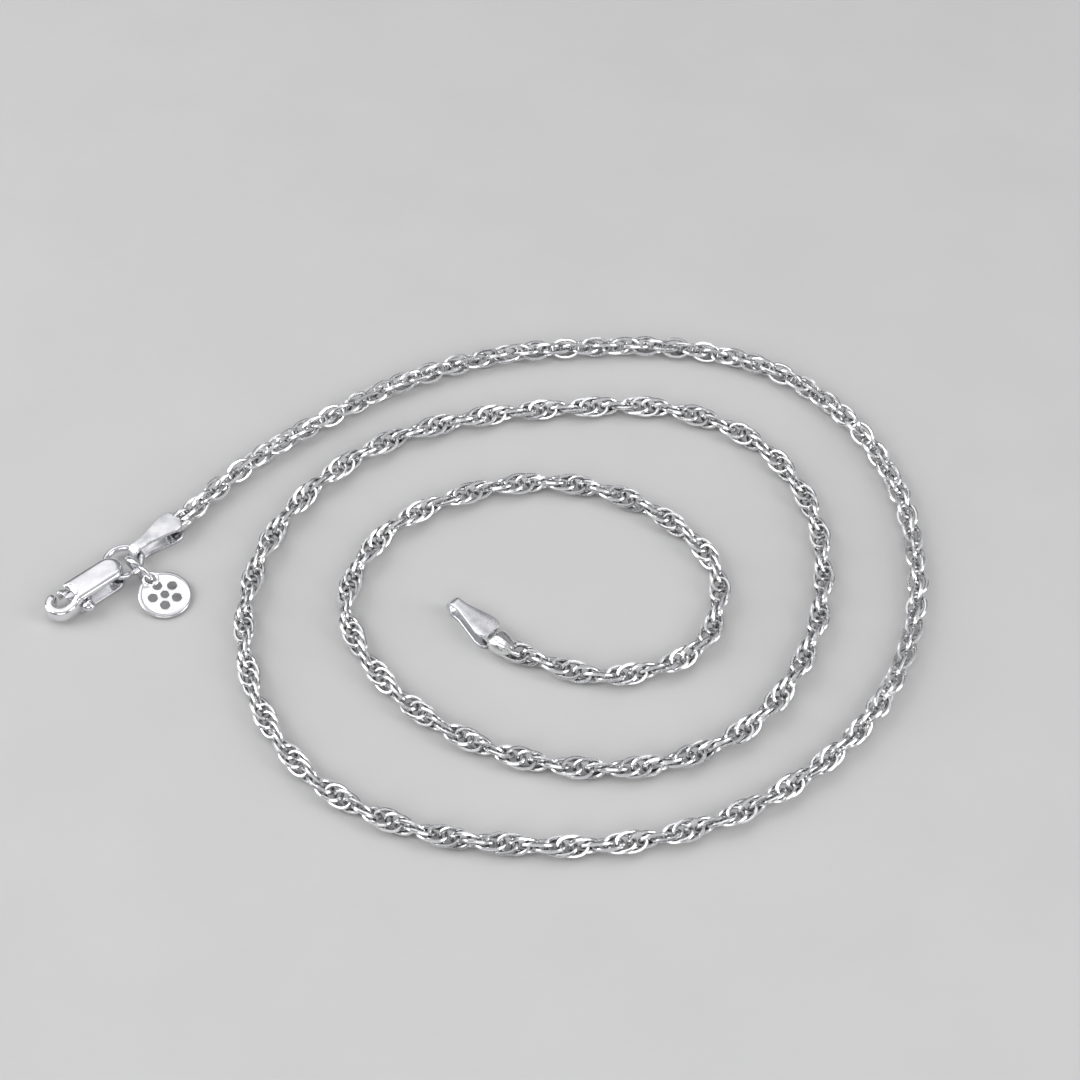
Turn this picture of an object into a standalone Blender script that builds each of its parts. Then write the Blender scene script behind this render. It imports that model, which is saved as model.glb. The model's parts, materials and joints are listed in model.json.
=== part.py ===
"""Chain necklace laid in a loose spiral: a jointed chain, two folded end tabs, a parrot clasp and a charm.

Lengths are in millimetres until in_metres() scales them. The origin is the bottom centre of the necklace's
box, and +Z is up. Each joint is an empty with its Z along the hinge and its limits in degrees as custom
properties. A moving piece is a child of its joint, and the joints make one tree, so turning an empty about
its own Z moves everything beyond it.
"""

import math

import bmesh
import bpy
import numpy as np
from mathutils import Matrix, Vector

MM = 0.001

# The chain, as short hinged sections of plain tube.
CHAIN_SECTIONS = 44
ROOT_SECTION = 20
CHAIN_FLAT_RADIUS = 1.05  # from the chain's middle to the flats of its eight-sided section
CHAIN_SIDES = 8
SECTION_GAP = 0.3
SECTION_RINGS = 4
SECTION_DOME = ((0, 0.35), (0.32, 0.8), (0.85, 1))  # (distance from the end, share of the full radius)
CHAIN_Z = CHAIN_FLAT_RADIUS

# Where the chain lies, from the clasp's end tab inwards, and the shift that puts the box's centre at zero.
ROUTE = [
    (-35.3, 1.7), (-32.5, 5.5), (-21.5, 15.5), (-8.5, 23), (6.5, 25.5), (21.5, 23.5), (32.5, 13.5),
    (36.5, -1), (34, -16), (25, -28), (12, -35), (-3.5, -36), (-17.5, -31.5), (-26.5, -19.5),
    (-27.5, -4.5), (-22, 6.5), (-11.5, 14), (1, 16.5), (13.5, 16.5), (24, 9.5), (27.5, -2.5), (25, -15),
    (17, -25), (5, -28), (-7, -24.5), (-14.5, -18), (-18.5, -9.5), (-15.5, -0.5), (-7.5, 5), (2, 6.5),
    (11, 3), (17, -4.5), (15.5, -13.5), (7, -17.5), (-2.8, -14.5),
]
ROUTE_SHIFT = Vector((4.856, 5.373))

# How each chain hinge leans from the vertical, so that a bend also lifts the chain clear of its other turns.
HINGE_LEAN = 55
STEEP_LEAN = 70
STEEP_HINGES = (9, 10, 11, 12, 13, 18, 22, 23, 30)
HINGE_SIGNS = ((1, 1), (-1, -1), (-1, 1), (1, -1))
CHAIN_BEND = (-30, 30)

# The other joints' limits, in degrees.
RING_SWING = (-30, 45)
CLASP_SWING = (-20, 20)
LEVER_PRESS = (0, 22)
CHARM_RING_SWING = (-15, 20)
CHARM_TURN = (-25, 40)

# Folded end tabs: a strip bent double, narrow at the fold and wide where the chain is soldered in.
TAB_LENGTH = 5.9
TAB_SHEET = 0.35
TAB_HEIGHT = 2.0
TAB_FOLD_WIDTH = 1.1
TAB_FOLD_STEPS = 8
# (distance from the wide end, width) along each leaf, up to where the fold begins to turn
TAB_LEAF = ((0, 1.5), (0.35, 2.1), (0.8, 2.5), (1.3, 2.5), (3.8, 1.25), (4.3, TAB_FOLD_WIDTH))
TAB_A_ANGLE = 226
TAB_B_ANGLE = 135
CAP_A_REACH = 0.55
CAP_B_REACH = 2.3
# (place along the tab from its wide end, half width, half height) of the tongue between the leaves
CAP_TONGUE = ((1.1, 0.7, 0.42), (0.2, 0.75, 0.45), (-0.15, 0.8, 0.5))
CAP_A_FACE = (0.7, 0.6)
# (share of the way from the tongue to the chain, share of the full size) of the free end's dome
CAP_DOME = ((0.12, 0.9), (0.3, 0.99), (0.55, 1), (0.8, 0.85), (1, 0.5))
CAP_HALF_WIDTH = 1.05
CAP_HALF_HEIGHT = 1.0
CAP_SIDES = 12
CAP_CHAIN_GAP = 0.25

# Jump ring, lying level through the fold of tab A.
RING_RADIUS = 1.82
RING_WIRE = 0.33
RING_Z = TAB_HEIGHT / 2
RING_SEAT = 0.86  # from the outside of the fold to the middle of the ring's wire

# Parrot clasp. Its own X runs from the tail to the nose.
CLASP_ANGLE = 222
CLASP_ON_RING = 240  # where round the ring the clasp's tail hangs
CLASP_SEAT = 1.08  # from the outside of the tail wall to the middle of the ring's wire
PLATE_LENGTH = 5.9
PLATE_HALF_WIDTH = 1.35
FRONT_CORNER = 0.5
PLATE_LOW_TOP = 0.45
PLATE_HIGH_UNDER = 1.8
PLATE_EDGE_TOP = 2.1
PLATE_CROWN = 2.45
# (height, how far in from the plate's outline) up the domed upper plate
PLATE_DOME = ((PLATE_HIGH_UNDER, 0), (PLATE_EDGE_TOP, 0), (PLATE_EDGE_TOP + 0.2, 0.18), (PLATE_CROWN, 0.65))
TAIL_WALL = (0.02, 0.38)  # where the fold's wall starts and ends along the clasp
TAIL_HALF_WIDTH = 0.4
HOOK_CENTRE = 7.0
HOOK_RADIUS = 1.1
HOOK_WIDTH = 0.9
HOOK_HEIGHT = 1.3
HOOK_ROOT = ((5.6, 0.93), (6.3, 1.06))
HOOK_ROOT_WIDTHS = (0.7, 0.8)
HOOK_ROOT_HEIGHTS = (1.9, 1.7)
HOOK_TIP_WIDTHS = (0.85, 0.75)
HOOK_STEPS = 12
HOOK_Z = 1.15
HOOK_TIP_ANGLE = -95
PIVOT = (4.2, -0.55)
PIN_RADIUS = 0.28
PIN_CLEARANCE = 0.05
LEVER_LOW = 0.95
LEVER_HIGH = 1.6
HUB_RADIUS = 0.62
LEVER_BAR_WIDTH = 0.5
LEVER_BAR_INSET = 0.05  # how much thinner the gate and the arm are than the hub
GATE_PATH = ((4.35, -0.75), (5.1, -1.05), (5.8, -HOOK_RADIUS), (6.66, -HOOK_RADIUS))
THUMB_NUB = (5.05, 1.72)
ARM_PATH = ((4.3, -0.2), (4.75, 0.7), THUMB_NUB)
NUB_RADIUS = 0.38
SPRING_RADIUS = 0.48
SPRING_WIRE = 0.06
SPRING_TURNS = 2
SPRING_STEPS = 14  # in each turn
SPRING_BASE = 0.57
SPRING_PITCH = 0.15
PIN_BASE = 0.04
PIN_TOP_GAP = 0.05

# Charm ring and charm. The ring leans over, and holds up the charm's eye.
CHARM_ON_RING = -35
CHARM_RING_AIM = -40
CHARM_RING_RADIUS = 1.5
CHARM_RING_WIRE = 0.24
CHARM_RING_LEAN = -15
CHARM_RING_RISE = 0.74
CHARM_RING_BACK = -0.5
EYE_TURN = -25  # where round the charm ring the eye hangs
CHARM_RADIUS = 2.55
CHARM_THICK = 0.35
CHARM_AIM = -47.6
CHARM_DROP = 10.6
EYE_REACH = 2.2
EYE_OUTER = 0.85
EYE_HOLE = 0.5
EYE_THICK = 0.343
PIERCED_HOLES = 5
PIERCED_RADIUS = 0.46
PIERCED_CIRCLE = 1.25
PIERCED_MIDDLE = 0.42

CUTTER_REACH = 0.5  # how far each cutter stands out past what it cuts


def clear_scene():
    for obj in list(bpy.data.objects):
        bpy.data.objects.remove(obj, do_unlink=True)


def metal(name, colour, roughness):
    material = bpy.data.materials.new(name)
    material.use_nodes = True
    shader = material.node_tree.nodes["Principled BSDF"]
    shader.inputs["Base Color"].default_value = (*colour, 1)
    shader.inputs["Metallic"].default_value = 1
    shader.inputs["Roughness"].default_value = roughness
    return material


# Mesh helpers. Each one returns a closed bmesh whose faces point out.


def loft(sections, joined=False):
    """A skin over sections that all have the same number of points: capped, or joined end to end."""
    mesh = bmesh.new()
    rings = [[mesh.verts.new(point) for point in section] for section in sections]
    pairs = list(zip(rings[:-1], rings[1:]))
    if joined:
        pairs.append((rings[-1], rings[0]))
    for one, two in pairs:
        for i in range(len(one)):
            j = (i + 1) % len(one)
            mesh.faces.new((one[i], one[j], two[j], two[i]))
    if not joined:
        mesh.faces.new(rings[0][::-1])
        mesh.faces.new(rings[-1])
    bmesh.ops.recalc_face_normals(mesh, faces=mesh.faces)
    return mesh


def raised(outline, low, high):
    """A flat outline, given as (x, y) points, made into a plate."""
    return loft([[Vector((x, y, z)) for x, y in outline] for z in (low, high)])


def disc_outline(centre, radius, sides):
    turns = [2 * math.pi * i / sides for i in range(sides)]
    return [(centre[0] + radius * math.cos(t), centre[1] + radius * math.sin(t)) for t in turns]


def plate_outline(inset=0.0):
    """The clasp's plates: round at the tail, square with rounded corners at the front."""
    half_width = PLATE_HALF_WIDTH - inset
    corner = FRONT_CORNER - inset / 2
    front, side = PLATE_LENGTH - inset - corner, half_width - corner
    arcs = [(front, -side, corner, -90, 90, 4), (front, side, corner, 0, 90, 4)]
    arcs.append((PLATE_HALF_WIDTH, 0, half_width, 90, 180, 10))
    points = []
    for x, y, radius, first, sweep, steps in arcs:
        for i in range(steps + 1):
            angle = math.radians(first + sweep * i / steps)
            points.append((x + radius * math.cos(angle), y + radius * math.sin(angle)))
    return points


def frames_along(path, up, joined=False):
    """The side and upward directions across a path at each of its points."""
    frames = []
    for i, point in enumerate(path):
        if joined:
            ahead, behind = path[(i + 1) % len(path)], path[i - 1]
        else:
            ahead, behind = path[min(i + 1, len(path) - 1)], path[max(i - 1, 0)]
        forward = (ahead - behind).normalized()
        side = up.cross(forward).normalized()
        frames.append((point, side, forward.cross(side)))
    return frames


def bar(path, widths, heights, up=Vector((0, 0, 1)), corner=0.25):
    """A bar with cut corners along a path, with its width across and its height along up."""
    sections = []
    for (point, side, rise), width, height in zip(frames_along(path, up), widths, heights):
        a, b = width / 2, height / 2
        cut = corner * min(width, height)
        outline = [
            (a, -b + cut), (a, b - cut), (a - cut, b), (-a + cut, b),
            (-a, b - cut), (-a, -b + cut), (-a + cut, -b), (a - cut, -b),
        ]
        sections.append([point + side * x + rise * y for x, y in outline])
    return loft(sections)


def round_wire(path, radius, sides, up, joined=False):
    angles = [2 * math.pi * (i + 0.5) / sides for i in range(sides)]
    sections = [
        [point + (side * math.cos(a) + rise * math.sin(a)) * radius for a in angles]
        for point, side, rise in frames_along(path, up, joined)
    ]
    return loft(sections, joined)


def ring(radius, wire, sides=28, wire_sides=8):
    path = [Vector((x, y, 0)) for x, y in disc_outline((0, 0), radius, sides)]
    return round_wire(path, wire, wire_sides, Vector((0, 0, 1)), joined=True)


def in_metres(place):
    return Matrix.Translation(place.translation * MM) @ place.to_3x3().to_4x4()


def put(obj, place, parent):
    bpy.context.scene.collection.objects.link(obj)
    obj.parent = parent
    obj.matrix_world = in_metres(place)


def add_joint(name, origin, axis, limits, parent):
    """An empty on a hinge. Positive turns go round its Z by the right-hand rule."""
    joint = bpy.data.objects.new(name, None)
    joint.empty_display_size = MM
    across = axis.orthogonal()
    put(joint, placed(origin, across, axis), parent)
    joint["low_degrees"], joint["high_degrees"] = limits
    return joint


def add_part(name, mesh, material, place, joint, crease=35):
    """Turns a bmesh in millimetres, in its own frame, into a named object that moves with a joint."""
    data = bpy.data.meshes.new(name)
    mesh.to_mesh(data)
    mesh.free()
    data.transform(Matrix.Scale(MM, 4))
    data.materials.append(material)
    data.shade_smooth()
    data.set_sharp_from_angle(angle=math.radians(crease))
    obj = bpy.data.objects.new(name, data)
    put(obj, place, joint)
    return obj


def join_by_boolean(target, name, mesh, place, operation="UNION"):
    """Adds a hidden helper to the target's Boolean modifiers."""
    helper = add_part(name, mesh, target.data.materials[0], place, target)
    helper.hide_render = True
    helper.display_type = "WIRE"
    modifier = target.modifiers.new(name, "BOOLEAN")
    modifier.operation = operation
    modifier.object = helper


def placed(origin, x_axis, z_axis):
    """A frame with its origin, X and Z as given."""
    x_axis = x_axis.normalized()
    z_axis = (z_axis - x_axis * x_axis.dot(z_axis)).normalized()
    y_axis = z_axis.cross(x_axis)
    rotation = Matrix((x_axis, y_axis, z_axis)).transposed()
    return Matrix.Translation(origin) @ rotation.to_4x4()


def heading(degrees):
    angle = math.radians(degrees)
    return Vector((math.cos(angle), math.sin(angle), 0))


# The chain's route.


def smooth_route(points, samples=2400):
    """A natural cubic spline through the points, sampled evenly along its length."""
    points = np.array(points, float)
    steps = np.linalg.norm(np.diff(points, axis=0), axis=1)
    knots = np.concatenate([[0], np.cumsum(steps)])
    count = len(points)
    system = np.eye(count)
    right = np.zeros_like(points)
    for i in range(1, count - 1):
        system[i, i - 1 : i + 2] = steps[i - 1], 2 * (steps[i - 1] + steps[i]), steps[i]
        right[i] = 6 * np.diff(points[i : i + 2], axis=0)[0] / steps[i]
        right[i] -= 6 * np.diff(points[i - 1 : i + 1], axis=0)[0] / steps[i - 1]
    bends = np.linalg.solve(system, right)
    where = np.linspace(0, knots[-1], samples)
    left = np.clip(np.searchsorted(knots, where) - 1, 0, count - 2)
    span = steps[left][:, None]
    after = (where - knots[left])[:, None]
    before = span - after
    curve = (bends[left] * before**3 + bends[left + 1] * after**3) / (6 * span)
    curve += (points[left] / span - bends[left] * span / 6) * before
    curve += (points[left + 1] / span - bends[left + 1] * span / 6) * after
    return curve


class Route:
    """The chain's middle line, by distance from its start."""

    def __init__(self):
        self.curve = smooth_route([Vector(point) + ROUTE_SHIFT for point in ROUTE])
        steps = np.linalg.norm(np.diff(self.curve, axis=0), axis=1)
        self.distance = np.concatenate([[0], np.cumsum(steps)])
        self.length = self.distance[-1]

    def point(self, distance):
        x, y = (np.interp(distance, self.distance, self.curve[:, k]) for k in (0, 1))
        return Vector((x, y, CHAIN_Z))

    def direction(self, distance, reach=0.3):
        return (self.point(distance + reach) - self.point(distance - reach)).normalized()


def hinge_axis(number, forward):
    """The leaning axis of chain hinge number, counted from 1 at the clasp's end tab."""
    lean = math.radians(STEEP_LEAN if number in STEEP_HINGES else HINGE_LEAN)
    up_sign, side_sign = HINGE_SIGNS[(number - 1) % len(HINGE_SIGNS)]
    side = Vector((-forward.y, forward.x, 0))
    return Vector((0, 0, up_sign * math.cos(lean))) + side * side_sign * math.sin(lean)


def section_mesh(route, start, end, to_local):
    """One length of the chain's tube, with domed ends that leave half a gap at each hinge."""
    radius = CHAIN_FLAT_RADIUS / math.cos(math.pi / CHAIN_SIDES)
    low, high = start + SECTION_GAP / 2, end - SECTION_GAP / 2
    stations = [(low + depth, share) for depth, share in SECTION_DOME]
    for i in range(1, SECTION_RINGS):
        stations.append((low + (high - low) * i / SECTION_RINGS, 1))
    stations += [(high - depth, share) for depth, share in reversed(SECTION_DOME)]
    angles = [2 * math.pi * (i + 0.5) / CHAIN_SIDES for i in range(CHAIN_SIDES)]
    sections = []
    for distance, share in stations:
        centre = route.point(distance)
        forward = route.direction(distance)
        side = Vector((-forward.y, forward.x, 0))
        sections.append([
            to_local @ (centre + (side * math.cos(a) + Vector((0, 0, math.sin(a)))) * radius * share)
            for a in angles
        ])
    return loft(sections)


def add_section(route, number, joint, joint_at, material):
    """One section, with its own origin at the hinge it turns on."""
    length = route.length / CHAIN_SECTIONS
    place = placed(route.point(joint_at), route.direction(joint_at), Vector((0, 0, 1)))
    mesh = section_mesh(route, (number - 1) * length, number * length, place.inverted())
    add_part(f"chain_section_{number:02d}", mesh, material, place, joint)


def add_chain(route, material):
    """The sections, hinged outwards from the root both ways. Returns the joints that the end tabs turn on."""
    length = route.length / CHAIN_SECTIONS
    add_section(route, ROOT_SECTION, None, (ROOT_SECTION - 0.5) * length, material)
    tab_joints = []
    for hinges, step in ((range(ROOT_SECTION, 0, -1), -1), (range(ROOT_SECTION + 1, CHAIN_SECTIONS + 2), 0)):
        joint = None
        for hinge in hinges:
            joint_at = (hinge - 1) * length
            axis = hinge_axis(hinge, route.direction(joint_at))
            joint = add_joint(f"strand_bend_{hinge:02d}", route.point(joint_at), axis, CHAIN_BEND, joint)
            if 1 <= hinge + step <= CHAIN_SECTIONS:
                add_section(route, hinge + step, joint, joint_at, material)
        tab_joints.append(joint)
    return tab_joints


# End tabs and the solder caps that hold the chain's ends in them.


def tab_mesh():
    """A strip folded double. Its own X runs from the wide end to the fold, with the lower leaf at z = 0."""
    bend = (TAB_HEIGHT - TAB_SHEET) / 2
    fold_at = TAB_LENGTH - bend - TAB_SHEET / 2
    middle = TAB_HEIGHT / 2
    stations = [(x, middle - bend, 0, width) for x, width in TAB_LEAF]
    for i in range(TAB_FOLD_STEPS + 1):
        turned = math.pi * i / TAB_FOLD_STEPS
        x, z = fold_at + bend * math.sin(turned), middle - bend * math.cos(turned)
        stations.append((x, z, turned, TAB_FOLD_WIDTH))
    stations += [(x, middle + bend, math.pi, width) for x, width in reversed(TAB_LEAF)]
    sections = []
    for x, z, turned, width in stations:
        out = Vector((math.sin(turned), 0, -math.cos(turned))) * TAB_SHEET / 2
        side = Vector((0, width / 2, 0))
        centre = Vector((x, 0, z))
        near, far = centre + side, centre - side
        sections.append([near + out, near - out, far - out, far + out])
    return loft(sections)


def cap_mesh(reach, domed):
    """A soldered end: a flat tongue between the leaves, then a flat face or a dome towards the chain."""
    stations = list(CAP_TONGUE)
    start, end = CAP_TONGUE[-1][0], CAP_CHAIN_GAP - reach
    if domed:
        for share, size in CAP_DOME:
            stations.append((start + (end - start) * share, CAP_HALF_WIDTH * size, CAP_HALF_HEIGHT * size))
    else:
        stations.append((end, *CAP_A_FACE))
    turns = [2 * math.pi * (i + 0.5) / CAP_SIDES for i in range(CAP_SIDES)]
    middle = TAB_HEIGHT / 2
    sections = []
    for x, width, height in stations:
        sections.append([Vector((x, width * math.cos(t), middle + height * math.sin(t))) for t in turns])
    return loft(sections)


def add_end_tab(letter, chain_end, angle, reach, domed, joint, sheet, solder):
    """A tab and its cap, placed past the chain's end. Returns the outermost point of the fold."""
    towards_fold = heading(angle)
    wide_end = Vector((chain_end.x, chain_end.y, 0)) + towards_fold * reach
    place = placed(wide_end, towards_fold, Vector((0, 0, 1)))
    add_part(f"end_tab_{letter}", tab_mesh(), sheet, place, joint)
    add_part(f"end_cap_{letter}", cap_mesh(reach, domed), solder, place, joint)
    return wide_end + towards_fold * TAB_LENGTH


# The clasp. These pieces share one frame, with X towards the nose and z = 0 at the underside.


def plate_high_mesh():
    """The domed upper plate."""
    return loft([[Vector((x, y, z)) for x, y in plate_outline(inset)] for z, inset in PLATE_DOME])


def hook_mesh():
    """The fixed hook: out of the plates on one side, round the nose and back to meet the gate."""
    path = [Vector((x, y, HOOK_Z)) for x, y in HOOK_ROOT]
    centre = Vector((HOOK_CENTRE, 0, HOOK_Z))
    for i in range(HOOK_STEPS + 1):
        path.append(centre + heading(90 + (HOOK_TIP_ANGLE - 90) * i / HOOK_STEPS) * HOOK_RADIUS)
    bends = len(path) - len(HOOK_ROOT)
    heights = [*HOOK_ROOT_HEIGHTS, *[HOOK_HEIGHT] * bends]
    widths = [*HOOK_ROOT_WIDTHS, *[HOOK_WIDTH] * (bends - len(HOOK_TIP_WIDTHS)), *HOOK_TIP_WIDTHS]
    return bar(path, widths, heights)


def add_clasp_body(place, joint, material):
    low = raised(plate_outline(), 0, PLATE_LOW_TOP)
    body = add_part("clasp_body", low, material, place, joint)
    back, front = TAIL_WALL
    side = TAIL_HALF_WIDTH
    tail = [(back, -side), (front, -side), (front, side), (back, side)]
    tail_mesh = raised(tail, PLATE_LOW_TOP / 2, (PLATE_HIGH_UNDER + PLATE_CROWN) / 2)
    join_by_boolean(body, "clasp_upper_plate", plate_high_mesh(), place)
    join_by_boolean(body, "clasp_tail_wall", tail_mesh, place)
    join_by_boolean(body, "clasp_hook", hook_mesh(), place)
    hole_outline = disc_outline(PIVOT, PIN_RADIUS + PIN_CLEARANCE, 16)
    hole = raised(hole_outline, -CUTTER_REACH, PLATE_LOW_TOP + CUTTER_REACH)
    join_by_boolean(body, "clasp_pin_hole", hole, place, "DIFFERENCE")


def add_clasp_lever(place, clasp_joint, material):
    """The gate that shuts the hook, and the nub that works it, turning on the pin."""
    pivot = Vector((*PIVOT, 0))
    middle = (LEVER_LOW + LEVER_HIGH) / 2
    depth = LEVER_HIGH - LEVER_LOW - LEVER_BAR_INSET
    own = place @ Matrix.Translation(pivot)
    joint = add_joint("clasp_lever_press", own.translation, Vector((0, 0, 1)), LEVER_PRESS, clasp_joint)

    def lever_bar(points):
        path = [Vector((x, y, middle)) - pivot for x, y in points]
        return bar(path, [LEVER_BAR_WIDTH] * len(path), [depth] * len(path))

    hub = raised(disc_outline((0, 0), HUB_RADIUS, 20), LEVER_LOW, LEVER_HIGH)
    lever = add_part("clasp_lever", hub, material, own, joint)
    nub_centre = Vector((*THUMB_NUB, middle)) - pivot
    nub = bmesh.new()
    bmesh.ops.create_uvsphere(nub, u_segments=12, v_segments=8, radius=NUB_RADIUS)
    bmesh.ops.translate(nub, vec=nub_centre, verts=nub.verts)
    join_by_boolean(lever, "lever_gate", lever_bar(GATE_PATH), own)
    join_by_boolean(lever, "lever_arm", lever_bar(ARM_PATH), own)
    join_by_boolean(lever, "lever_nub", nub, own)
    bore_outline = disc_outline((0, 0), PIN_RADIUS + PIN_CLEARANCE, 16)
    bore = raised(bore_outline, LEVER_LOW - CUTTER_REACH, LEVER_HIGH + CUTTER_REACH)
    join_by_boolean(lever, "lever_bore", bore, own, "DIFFERENCE")


def add_lever_pin(place, joint, material):
    pin = raised(disc_outline((0, 0), PIN_RADIUS, 16), PIN_BASE, PLATE_HIGH_UNDER - PIN_TOP_GAP)
    add_part("lever_pin", pin, material, place @ Matrix.Translation((*PIVOT, 0)), joint)


def add_lever_spring(place, joint, material):
    steps = SPRING_STEPS * SPRING_TURNS
    path = []
    for i in range(steps + 1):
        turn = 2 * math.pi * SPRING_TURNS * i / steps
        height = SPRING_BASE + SPRING_PITCH * SPRING_TURNS * i / steps
        path.append(Vector((SPRING_RADIUS * math.cos(turn), SPRING_RADIUS * math.sin(turn), height)))
    coil = round_wire(path, SPRING_WIRE, 6, Vector((0, 0, 1)))
    add_part("lever_spring", coil, material, place @ Matrix.Translation((*PIVOT, 0)), joint)


def add_clasp(ring_centre, ring_joint, polished, steel):
    """The clasp swings on the wire of the jump ring that passes through its tail."""
    seat = ring_centre + heading(CLASP_ON_RING) * RING_RADIUS
    towards_nose = heading(CLASP_ANGLE)
    tail = Vector((seat.x, seat.y, 0)) - towards_nose * CLASP_SEAT
    place = placed(tail, towards_nose, Vector((0, 0, 1)))
    joint = add_joint("clasp_swing", seat, heading(CLASP_ON_RING - 90), CLASP_SWING, ring_joint)
    add_clasp_body(place, joint, polished)
    add_clasp_lever(place, joint, polished)
    add_lever_pin(place, joint, steel)
    add_lever_spring(place, joint, steel)


# The charm and its ring.


def charm_mesh_and_cutters():
    """The disc, and the eye and holes cut in it. Its own origin is the eye, with X towards the middle."""
    middle = (EYE_REACH, 0)
    half = CHARM_THICK / 2
    disc = raised(disc_outline(middle, CHARM_RADIUS, 40), -half, half)
    eye = raised(disc_outline((0, 0), EYE_OUTER, 20), -EYE_THICK / 2, EYE_THICK / 2)
    cutters = [("charm_eye_hole", (0, 0), EYE_HOLE), ("charm_middle_hole", middle, PIERCED_MIDDLE)]
    for i in range(PIERCED_HOLES):
        turn = math.pi * (2 * i + 1) / PIERCED_HOLES
        centre = (middle[0] + PIERCED_CIRCLE * math.cos(turn), PIERCED_CIRCLE * math.sin(turn))
        cutters.append((f"charm_hole_{i + 1}", centre, PIERCED_RADIUS))
    outlines = [(name, disc_outline(centre, radius, 14)) for name, centre, radius in cutters]
    return disc, eye, [(name, raised(outline, -CUTTER_REACH, CUTTER_REACH)) for name, outline in outlines]


def add_charm(ring_centre, ring_joint, polished):
    """The charm turns on its own ring, which swings on the wire of the jump ring."""
    seat = ring_centre + heading(CHARM_ON_RING) * RING_RADIUS
    joint = add_joint("charm_ring_swing", seat, heading(CHARM_ON_RING - 90), CHARM_RING_SWING, ring_joint)
    outward = heading(CHARM_RING_AIM)
    lean = math.radians(CHARM_RING_LEAN)
    across = Vector((0, 0, 1)).cross(outward)
    rise = Vector((0, 0, math.cos(lean))) + across * math.sin(lean)
    centre = seat + rise * CHARM_RING_RISE - outward * CHARM_RING_BACK
    ring_place = placed(centre, outward, outward.cross(rise))
    add_part("charm_ring", ring(CHARM_RING_RADIUS, CHARM_RING_WIRE, 24), polished, ring_place, joint)
    turn = math.radians(EYE_TURN)
    eye = centre + (outward * math.cos(turn) + rise * math.sin(turn)) * CHARM_RING_RADIUS
    wire_axis = rise * math.cos(turn) - outward * math.sin(turn)
    joint = add_joint("charm_swing", eye, wire_axis, CHARM_TURN, joint)
    drop = math.radians(CHARM_DROP)
    towards_middle = heading(CHARM_AIM) * math.cos(drop) - Vector((0, 0, math.sin(drop)))
    place = placed(eye, towards_middle, Vector((0, 0, 1)))
    disc, eye_mesh, cutters = charm_mesh_and_cutters()
    charm = add_part("charm", disc, polished, place, joint)
    join_by_boolean(charm, "charm_eye", eye_mesh, place)
    for name, mesh in cutters:
        join_by_boolean(charm, name, mesh, place, "DIFFERENCE")


def main():
    clear_scene()
    silver = metal("silver_chain", (0.86, 0.86, 0.87), 0.2)
    polished = metal("silver_polished", (0.9, 0.9, 0.91), 0.12)
    sheet = metal("silver_sheet", (0.88, 0.88, 0.9), 0.16)
    solder = metal("silver_solder", (0.84, 0.84, 0.85), 0.3)
    steel = metal("spring_steel", (0.6, 0.6, 0.62), 0.3)
    route = Route()
    tab_joints = add_chain(route, silver)
    fold = add_end_tab("a", route.point(0), TAB_A_ANGLE, CAP_A_REACH, False, tab_joints[0], sheet, solder)
    add_end_tab("b", route.point(route.length), TAB_B_ANGLE, CAP_B_REACH, True, tab_joints[1], sheet, solder)
    towards_ring = heading(TAB_A_ANGLE)
    wire_seat = fold - towards_ring * RING_SEAT + Vector((0, 0, RING_Z))
    ring_centre = wire_seat + towards_ring * RING_RADIUS
    swing_axis = heading(TAB_A_ANGLE - 90)
    ring_joint = add_joint("jump_ring_swing", wire_seat, swing_axis, RING_SWING, tab_joints[0])
    ring_place = placed(ring_centre, -towards_ring, Vector((0, 0, 1)))
    add_part("jump_ring", ring(RING_RADIUS, RING_WIRE), polished, ring_place, ring_joint)
    add_clasp(ring_centre, ring_joint, polished, steel)
    add_charm(ring_centre, ring_joint, polished)


main()
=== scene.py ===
"""Looks for the chain necklace: the chain's real links, and finished clasp, tabs, rings and charm.

Shapes are worked out in millimetres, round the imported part's joints, and add_piece() scales them to metres.
"""

import json
import math

import bmesh
import bpy
import numpy as np
from mathutils import Matrix, Vector, noise


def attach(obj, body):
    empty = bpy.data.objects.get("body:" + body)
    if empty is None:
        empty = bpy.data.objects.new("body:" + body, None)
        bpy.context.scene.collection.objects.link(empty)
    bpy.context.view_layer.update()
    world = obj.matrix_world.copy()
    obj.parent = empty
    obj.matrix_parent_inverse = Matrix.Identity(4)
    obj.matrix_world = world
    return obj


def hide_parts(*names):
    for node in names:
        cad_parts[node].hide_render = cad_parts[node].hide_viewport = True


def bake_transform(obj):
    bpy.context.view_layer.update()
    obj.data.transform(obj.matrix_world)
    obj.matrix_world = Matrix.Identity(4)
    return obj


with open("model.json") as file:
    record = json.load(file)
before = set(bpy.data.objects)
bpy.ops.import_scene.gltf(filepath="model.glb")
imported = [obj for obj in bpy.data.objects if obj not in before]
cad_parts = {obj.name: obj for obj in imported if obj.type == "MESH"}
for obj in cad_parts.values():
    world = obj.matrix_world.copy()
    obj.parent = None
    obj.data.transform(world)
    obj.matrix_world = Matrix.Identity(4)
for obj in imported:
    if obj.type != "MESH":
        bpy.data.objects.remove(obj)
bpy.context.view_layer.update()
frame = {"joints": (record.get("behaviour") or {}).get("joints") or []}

MM = 0.001
UP = Vector((0, 0, 1))

# Camera: where it looks, how high it stands and how wide it sees.
VIEW_TARGET = Vector((4.856, 5.373, 0))
VIEW_ELEVATION = 50
VIEW_DISTANCE = 239.7
VIEW_ANGLE = 25

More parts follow.
